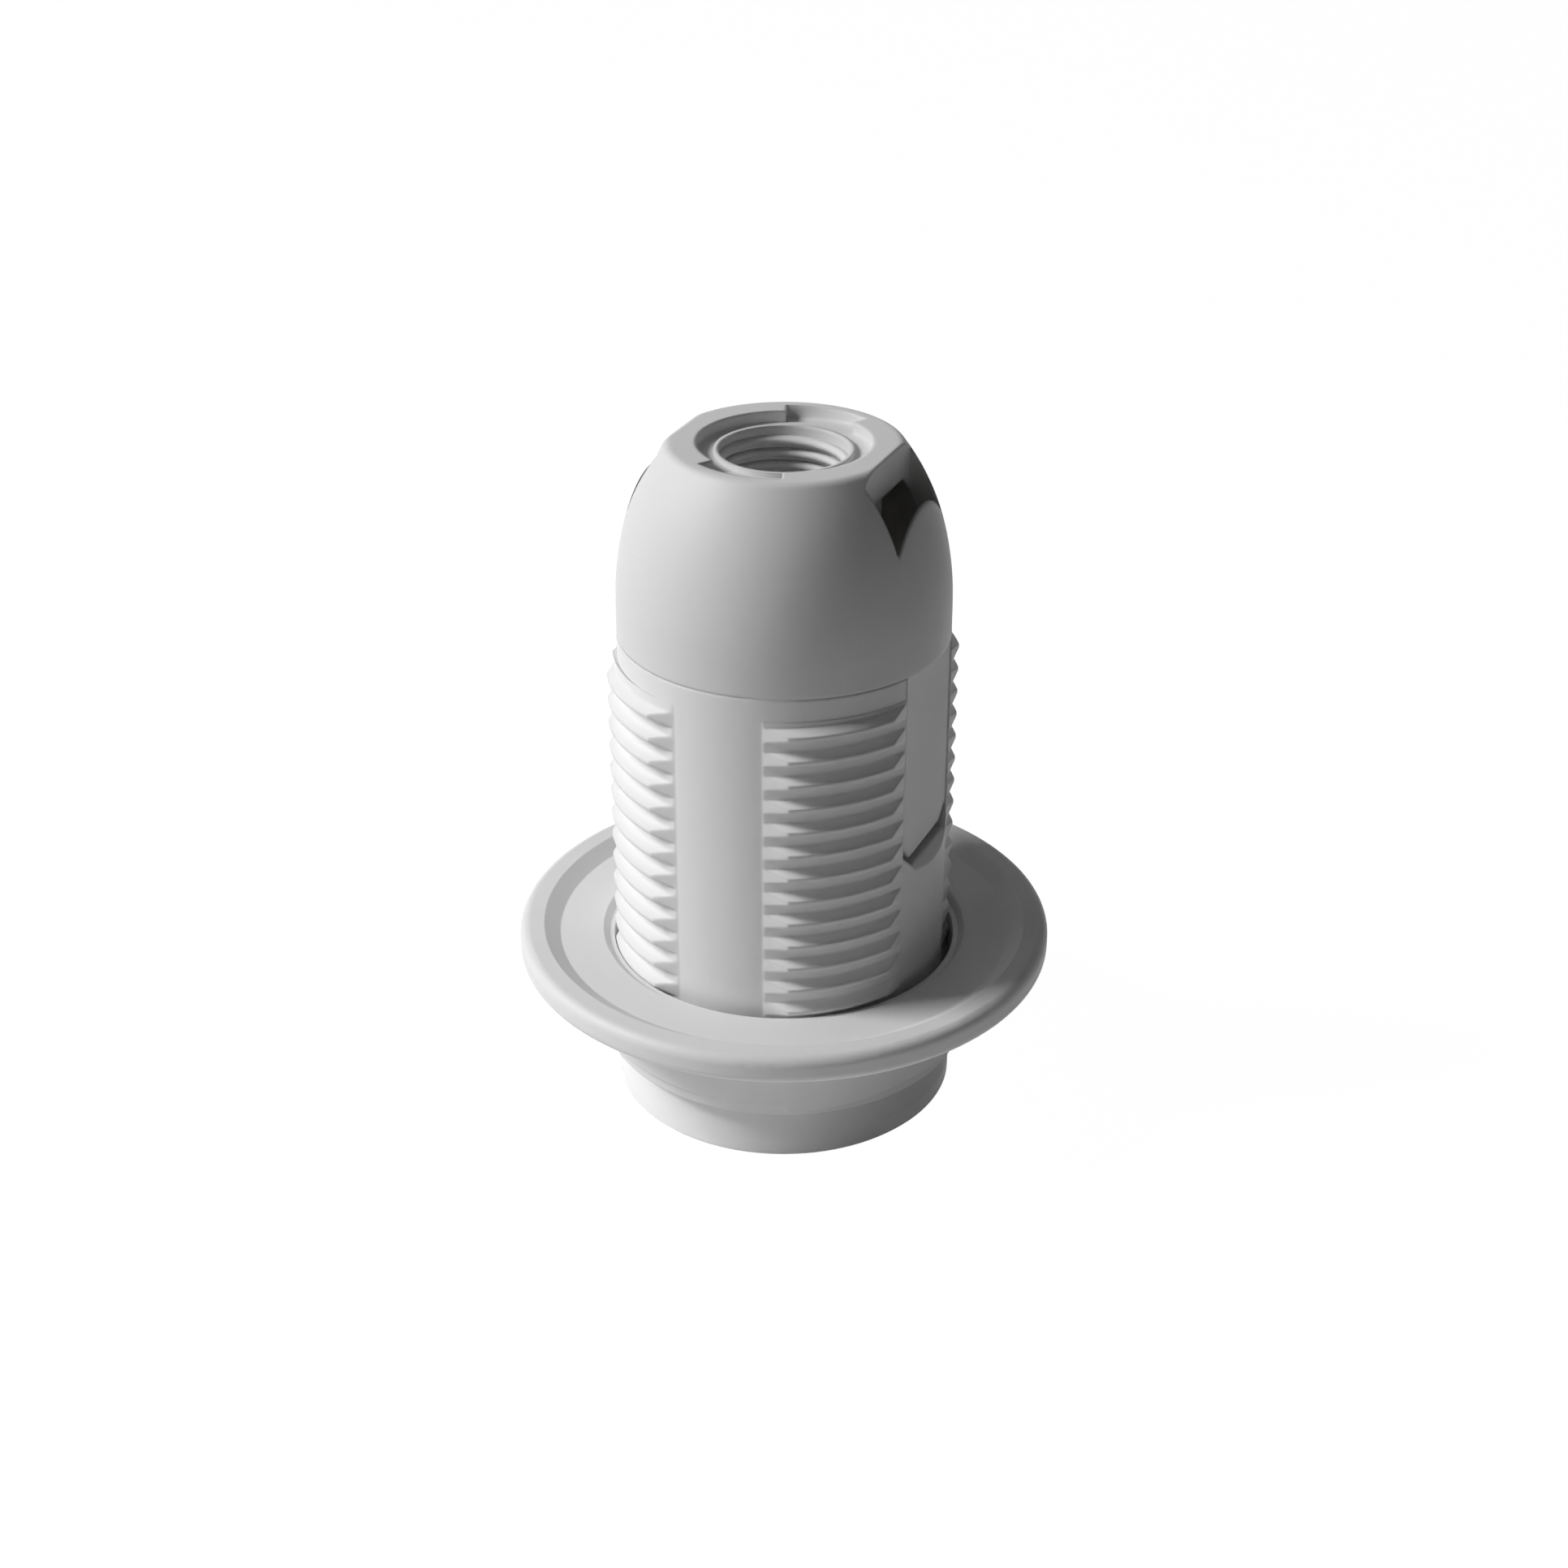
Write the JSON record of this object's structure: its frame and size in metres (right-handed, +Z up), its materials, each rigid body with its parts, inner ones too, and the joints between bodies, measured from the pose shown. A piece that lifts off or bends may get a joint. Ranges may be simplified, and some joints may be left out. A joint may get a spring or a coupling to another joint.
{
  "type": "lamp holder",
  "caption": "Small-screw lamp holder with a threaded barrel, a shade ring that screws along it and a domed cap with a threaded cable entry, held by two latch tongues.",
  "frame": {"origin": "centre of the mouth face, on the surface that the holder stands on", "axes": "+Z up the holder's axis from the mouth to the cap, +X towards one latch tongue of the cap"},
  "size_m": [0.0436, 0.0436, 0.0559],
  "materials": {
    "white_cap": "fine satin mould finish",
    "white_shell": "fine satin mould finish",
    "white_ring": "fine satin mould finish",
    "white_insert": "satin mould finish",
    "contact_bronze": "rolled spring strip",
    "terminal_brass": "stamped brass",
    "plated_steel": "zinc plated"
  },
  "bodies": {
    "housing": {"cap": "white_cap", "threaded_shell": "white_shell", "lamp_sleeve": "white_insert", "contact_carrier": "white_insert", "centre_rivet": "terminal_brass", "side_rivet": "terminal_brass", "line_terminal": "terminal_brass", "neutral_terminal": "terminal_brass"},
    "ring": {"shade_ring": "white_ring"},
    "centre_leaf": {"centre_contact": "contact_bronze"},
    "side_leaf": {"side_contact": "contact_bronze"},
    "line_clamp": {"line_pressure_plate": "plated_steel", "line_spring_washer": "plated_steel"},
    "line_clamp_screw": {"line_screw": "plated_steel"},
    "neutral_clamp": {"neutral_pressure_plate": "plated_steel", "neutral_spring_washer": "plated_steel"},
    "neutral_clamp_screw": {"neutral_screw": "plated_steel"}
  },
  "joints": [
    {"name": "ring_travel", "type": "slide", "parent": "housing", "child": "ring", "axis": [0, 0, 1], "range_m": [0, 0.024]},
    {"name": "centre_leaf_flex", "type": "hinge", "parent": "housing", "child": "centre_leaf", "pos_m": [0, 0.0054, 0.02675], "axis": [-1, 0, 0], "range_deg": [0, 8], "stiffness_Nm_per_rad": 0.38},
    {"name": "side_leaf_flex", "type": "hinge", "parent": "housing", "child": "side_leaf", "pos_m": [0, -0.0054, 0.02675], "axis": [-1, 0, 0], "range_deg": [0, 5], "stiffness_Nm_per_rad": 0.38},
    {"name": "line_clamp_lift", "type": "slide", "parent": "housing", "child": "line_clamp", "axis": [0, 0, 1], "range_m": [0, 0.0016]},
    {"name": "line_screw_turn", "type": "hinge", "parent": "line_clamp", "child": "line_clamp_screw", "pos_m": [0.0042, 0.005, 0.034], "axis": [0, 0, 1], "range_deg": [0, 1152]},
    {"name": "neutral_clamp_lift", "type": "slide", "parent": "housing", "child": "neutral_clamp", "axis": [0, 0, 1], "range_m": [0, 0.0016]},
    {"name": "neutral_screw_turn", "type": "hinge", "parent": "neutral_clamp", "child": "neutral_clamp_screw", "pos_m": [-0.0042, -0.005, 0.034], "axis": [0, 0, 1], "range_deg": [0, 1152]}
  ],
  "couplings": [
    {"joint": "line_screw_turn", "follows": "line_clamp_lift", "rad_per_m": 12566},
    {"joint": "neutral_screw_turn", "follows": "neutral_clamp_lift", "rad_per_m": 12566}
  ]
}
